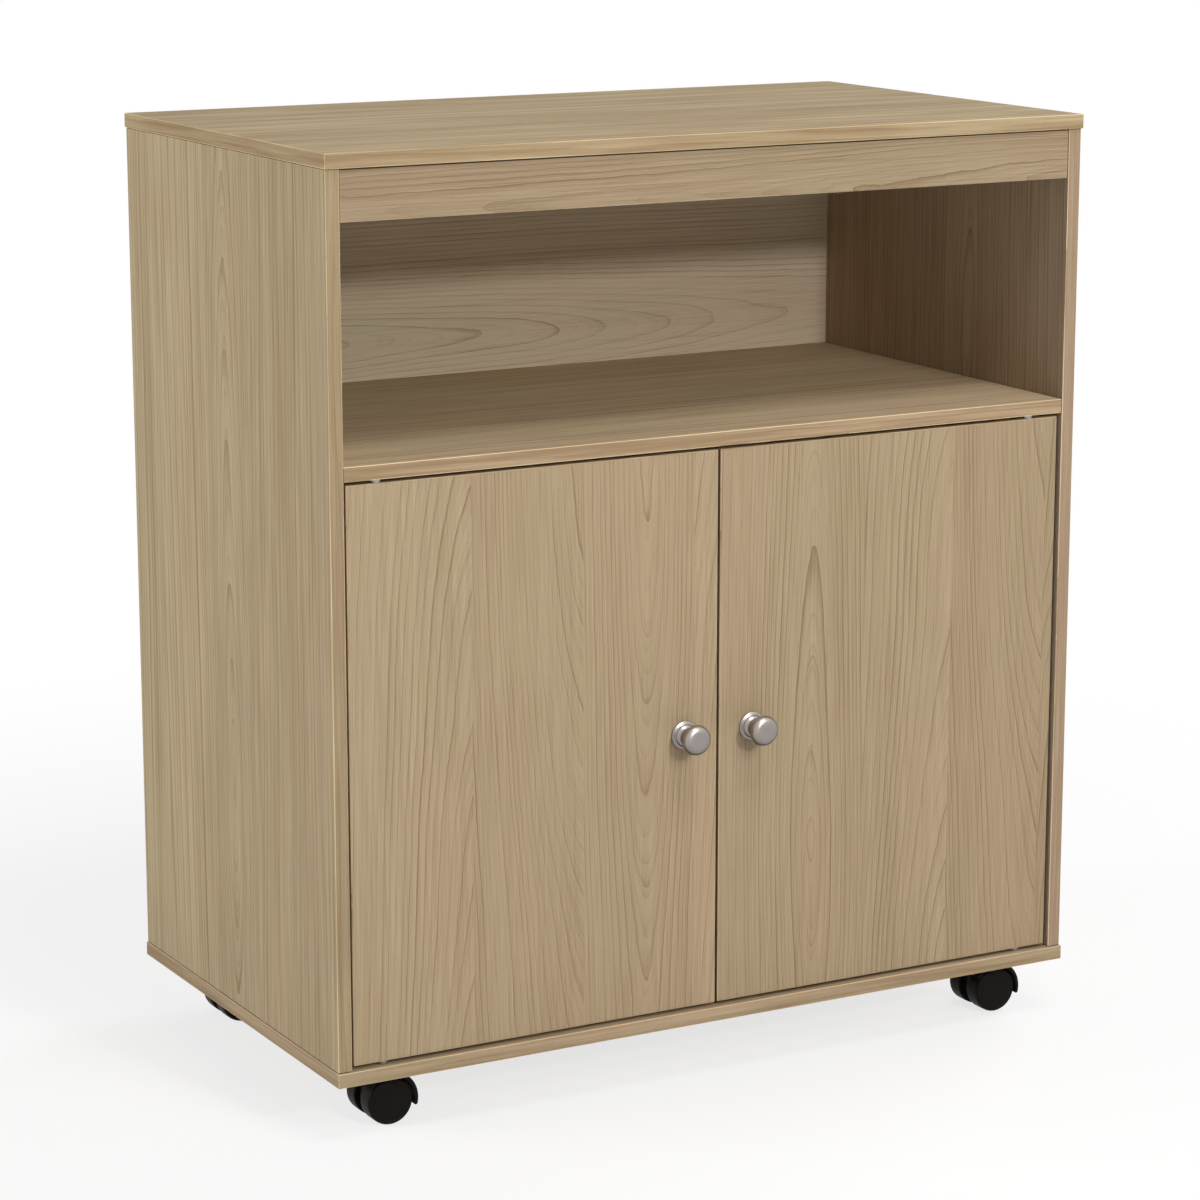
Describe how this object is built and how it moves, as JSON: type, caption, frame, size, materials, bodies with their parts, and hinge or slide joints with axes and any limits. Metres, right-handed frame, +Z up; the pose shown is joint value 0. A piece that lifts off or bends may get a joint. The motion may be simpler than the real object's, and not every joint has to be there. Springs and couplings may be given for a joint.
{
  "type": "kitchen cart",
  "caption": "Boarded kitchen cart with an open appliance niche over a cupboard with inset pivot doors and knobs, on hooded twin-wheel swivel casters.",
  "frame": {"origin": "on the floor, in the middle of the bounding box, knobs included", "axes": "+Z up, +X to the right seen from the front, the doors face -Y"},
  "size_m": [0.7, 0.4206, 0.79],
  "materials": {
    "laminated_board": "satin printed laminate with a maple figure",
    "back_board": "matt printed hardboard",
    "satin_nickel": "satin",
    "plated_steel": "bright zinc plate",
    "pale_plastic": "moulded",
    "black_nylon": "moulded, fine sheen",
    "ferrite": "sintered",
    "beech": "bare"
  },
  "bodies": {
    "carcass": {"back_panel": "back_board", "bottom_panel": "laminated_board", "bottom_screws": "plated_steel", "caster_screws": "plated_steel", "catch_housings": "pale_plastic", "catch_magnets": "ferrite", "catch_pole_plates": "plated_steel", "catch_screws": "plated_steel", "dowels": "beech", "front_left_caster_plate": "plated_steel", "front_left_kingpin": "plated_steel", "front_rail": "laminated_board", "front_right_caster_plate": "plated_steel", "front_right_kingpin": "plated_steel", "left_side_panel": "laminated_board", "middle_shelf": "laminated_board", "pivot_bushes": "pale_plastic", "rear_left_caster_plate": "plated_steel", "rear_left_kingpin": "plated_steel", "rear_right_caster_plate": "plated_steel", "rear_right_kingpin": "plated_steel", "right_side_panel": "laminated_board", "top_panel": "laminated_board"},
    "left_door": {"left_door": "laminated_board", "left_knob": "satin_nickel", "left_knob_screw": "plated_steel", "left_door_upper_pin": "plated_steel", "left_door_lower_pin": "plated_steel", "left_strike_plate": "plated_steel", "left_strike_screw": "plated_steel"},
    "right_door": {"right_door": "laminated_board", "right_knob": "satin_nickel", "right_knob_screw": "plated_steel", "right_door_upper_pin": "plated_steel", "right_door_lower_pin": "plated_steel", "right_strike_plate": "plated_steel", "right_strike_screw": "plated_steel"},
    "front_left_caster": {"front_left_caster_hood": "black_nylon", "front_left_axle": "plated_steel"},
    "front_left_fore_wheel": {"front_left_fore_wheel": "black_nylon"},
    "front_left_aft_wheel": {"front_left_aft_wheel": "black_nylon"},
    "front_right_caster": {"front_right_caster_hood": "black_nylon", "front_right_axle": "plated_steel"},
    "front_right_fore_wheel": {"front_right_fore_wheel": "black_nylon"},
    "front_right_aft_wheel": {"front_right_aft_wheel": "black_nylon"},
    "rear_left_caster": {"rear_left_caster_hood": "black_nylon", "rear_left_axle": "plated_steel"},
    "rear_left_fore_wheel": {"rear_left_fore_wheel": "black_nylon"},
    "rear_left_aft_wheel": {"rear_left_aft_wheel": "black_nylon"},
    "rear_right_caster": {"rear_right_caster_hood": "black_nylon", "rear_right_axle": "plated_steel"},
    "rear_right_fore_wheel": {"rear_right_fore_wheel": "black_nylon"},
    "rear_right_aft_wheel": {"rear_right_aft_wheel": "black_nylon"}
  },
  "joints": [
    {"name": "door_left_hinge", "type": "hinge", "parent": "carcass", "child": "left_door", "pos_m": [-0.3065, -0.17875, 0.2995], "axis": [0, 0, -1], "range_deg": [0, 150]},
    {"name": "door_right_hinge", "type": "hinge", "parent": "carcass", "child": "right_door", "pos_m": [0.3065, -0.17875, 0.2995], "axis": [0, 0, 1], "range_deg": [0, 150]},
    {"name": "swivel_front_left", "type": "hinge", "parent": "carcass", "child": "front_left_caster", "pos_m": [-0.296, -0.13775, 0.05], "axis": [0, 0, 1], "continuous": true},
    {"name": "swivel_front_right", "type": "hinge", "parent": "carcass", "child": "front_right_caster", "pos_m": [0.296, -0.13775, 0.05], "axis": [0, 0, 1], "continuous": true},
    {"name": "swivel_rear_left", "type": "hinge", "parent": "carcass", "child": "rear_left_caster", "pos_m": [-0.296, 0.15825, 0.05], "axis": [0, 0, 1], "continuous": true},
    {"name": "swivel_rear_right", "type": "hinge", "parent": "carcass", "child": "rear_right_caster", "pos_m": [0.296, 0.15825, 0.05], "axis": [0, 0, 1], "continuous": true},
    {"name": "wheel_front_left_fore", "type": "hinge", "parent": "front_left_caster", "child": "front_left_fore_wheel", "pos_m": [-0.29, -0.13775, 0.02], "axis": [0, 1, 0], "continuous": true},
    {"name": "wheel_front_left_aft", "type": "hinge", "parent": "front_left_caster", "child": "front_left_aft_wheel", "pos_m": [-0.29, -0.13775, 0.02], "axis": [0, 1, 0], "continuous": true},
    {"name": "wheel_front_right_fore", "type": "hinge", "parent": "front_right_caster", "child": "front_right_fore_wheel", "pos_m": [0.302, -0.13775, 0.02], "axis": [0, 1, 0], "continuous": true},
    {"name": "wheel_front_right_aft", "type": "hinge", "parent": "front_right_caster", "child": "front_right_aft_wheel", "pos_m": [0.302, -0.13775, 0.02], "axis": [0, 1, 0], "continuous": true},
    {"name": "wheel_rear_left_fore", "type": "hinge", "parent": "rear_left_caster", "child": "rear_left_fore_wheel", "pos_m": [-0.29, 0.15825, 0.02], "axis": [0, 1, 0], "continuous": true},
    {"name": "wheel_rear_left_aft", "type": "hinge", "parent": "rear_left_caster", "child": "rear_left_aft_wheel", "pos_m": [-0.29, 0.15825, 0.02], "axis": [0, 1, 0], "continuous": true},
    {"name": "wheel_rear_right_fore", "type": "hinge", "parent": "rear_right_caster", "child": "rear_right_fore_wheel", "pos_m": [0.302, 0.15825, 0.02], "axis": [0, 1, 0], "continuous": true},
    {"name": "wheel_rear_right_aft", "type": "hinge", "parent": "rear_right_caster", "child": "rear_right_aft_wheel", "pos_m": [0.302, 0.15825, 0.02], "axis": [0, 1, 0], "continuous": true}
  ]
}
